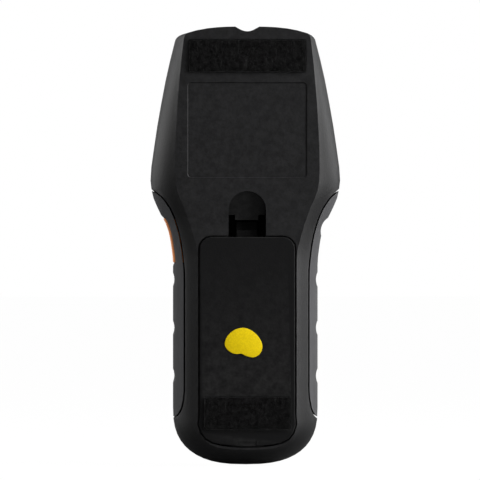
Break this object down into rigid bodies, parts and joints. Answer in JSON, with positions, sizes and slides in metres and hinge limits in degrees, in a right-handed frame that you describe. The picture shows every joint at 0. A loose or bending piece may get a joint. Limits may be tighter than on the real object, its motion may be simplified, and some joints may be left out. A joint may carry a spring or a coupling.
{
  "type": "pinless moisture meter",
  "caption": "Hand-held pinless moisture meter with a flat felt-padded sensing back, rubber side grips, a side button and a hinged battery door.",
  "frame": {"origin": "centre of the upper felt pad's outer face, which is what meets the floor or wall", "axes": "+Z along the instrument from the handle to the sensing head; -Y out of the sensing back; +X to the right seen from the back"},
  "size_m": [0.0796, 0.0339, 0.184],
  "materials": {
    "casing_plastic": "fine satin grain",
    "door_plastic": "fine satin grain",
    "grip_rubber": "matte soft touch",
    "felt": "short felt",
    "orange_plastic": "satin",
    "yellow_mark": "thin film",
    "key_plastic": "satin",
    "black_plastic": "moulded",
    "pale_plastic": "moulded",
    "clear_plastic": "clear window",
    "panel_glass": "liquid-crystal panel",
    "green_board": "solder mask",
    "copper": "bare copper sheet",
    "screw_steel": "zinc plated",
    "battery_case": "painted can",
    "foam": "soft foam",
    "red_wire": "insulation",
    "black_wire": "insulation"
  },
  "bodies": {
    "casing": {"rear_cover": "casing_plastic", "front_cover": "casing_plastic", "left_grip": "grip_rubber", "right_grip": "grip_rubber", "upper_felt_pad": "felt", "side_switch": "black_plastic", "power_switch": "black_plastic", "mode_switch": "black_plastic", "hold_switch": "black_plastic", "battery_tray": "black_plastic", "battery": "battery_case", "battery_snap": "black_plastic", "red_lead": "red_wire", "black_lead": "black_wire", "main_board": "green_board", "sensor_board": "green_board", "sensor_electrode": "copper", "board_header": "black_plastic", "processor_chip": "black_plastic", "buzzer": "black_plastic", "panel_frame": "pale_plastic", "display_panel": "panel_glass", "display_lens": "clear_plastic", "led_low": "pale_plastic", "led_middle": "pale_plastic", "led_high": "pale_plastic", "light_pipe_low": "clear_plastic", "light_pipe_middle": "clear_plastic", "light_pipe_high": "clear_plastic", "board_screw_left": "screw_steel", "board_screw_right": "screw_steel", "case_screw_upper_left": "screw_steel", "case_screw_upper_right": "screw_steel", "case_screw_lower_left": "screw_steel", "case_screw_lower_right": "screw_steel"},
    "door": {"battery_door": "door_plastic", "lower_felt_pad": "felt", "door_foam": "foam", "door_mark": "yellow_mark"},
    "latch": {"door_latch": "door_plastic"},
    "side_key": {"side_button": "orange_plastic", "side_plunger": "pale_plastic"},
    "power_key": {"power_button": "key_plastic", "power_plunger": "pale_plastic"},
    "mode_key": {"mode_button": "key_plastic", "mode_plunger": "pale_plastic"},
    "hold_key": {"hold_button": "key_plastic", "hold_plunger": "pale_plastic"}
  },
  "joints": [
    {"name": "battery_door_hinge", "type": "hinge", "parent": "casing", "child": "door", "pos_m": [0, 0.0012, -0.1642], "axis": [1, 0, 0], "range_deg": [0, 60]},
    {"name": "door_latch_flex", "type": "hinge", "parent": "door", "child": "latch", "pos_m": [0, 0.0054, -0.0764], "axis": [-1, 0, 0], "range_deg": [0, 8], "stiffness_Nm_per_rad": 0.12},
    {"name": "side_button_press", "type": "slide", "parent": "casing", "child": "side_key", "axis": [1, 0, 0], "range_m": [0, 0.0008], "stiffness_N_per_m": 1500},
    {"name": "power_button_press", "type": "slide", "parent": "casing", "child": "power_key", "axis": [0, -1, 0], "range_m": [0, 0.0008], "stiffness_N_per_m": 1500},
    {"name": "mode_button_press", "type": "slide", "parent": "casing", "child": "mode_key", "axis": [0, -1, 0], "range_m": [0, 0.0008], "stiffness_N_per_m": 1500},
    {"name": "hold_button_press", "type": "slide", "parent": "casing", "child": "hold_key", "axis": [0, -1, 0], "range_m": [0, 0.0008], "stiffness_N_per_m": 1500}
  ]
}
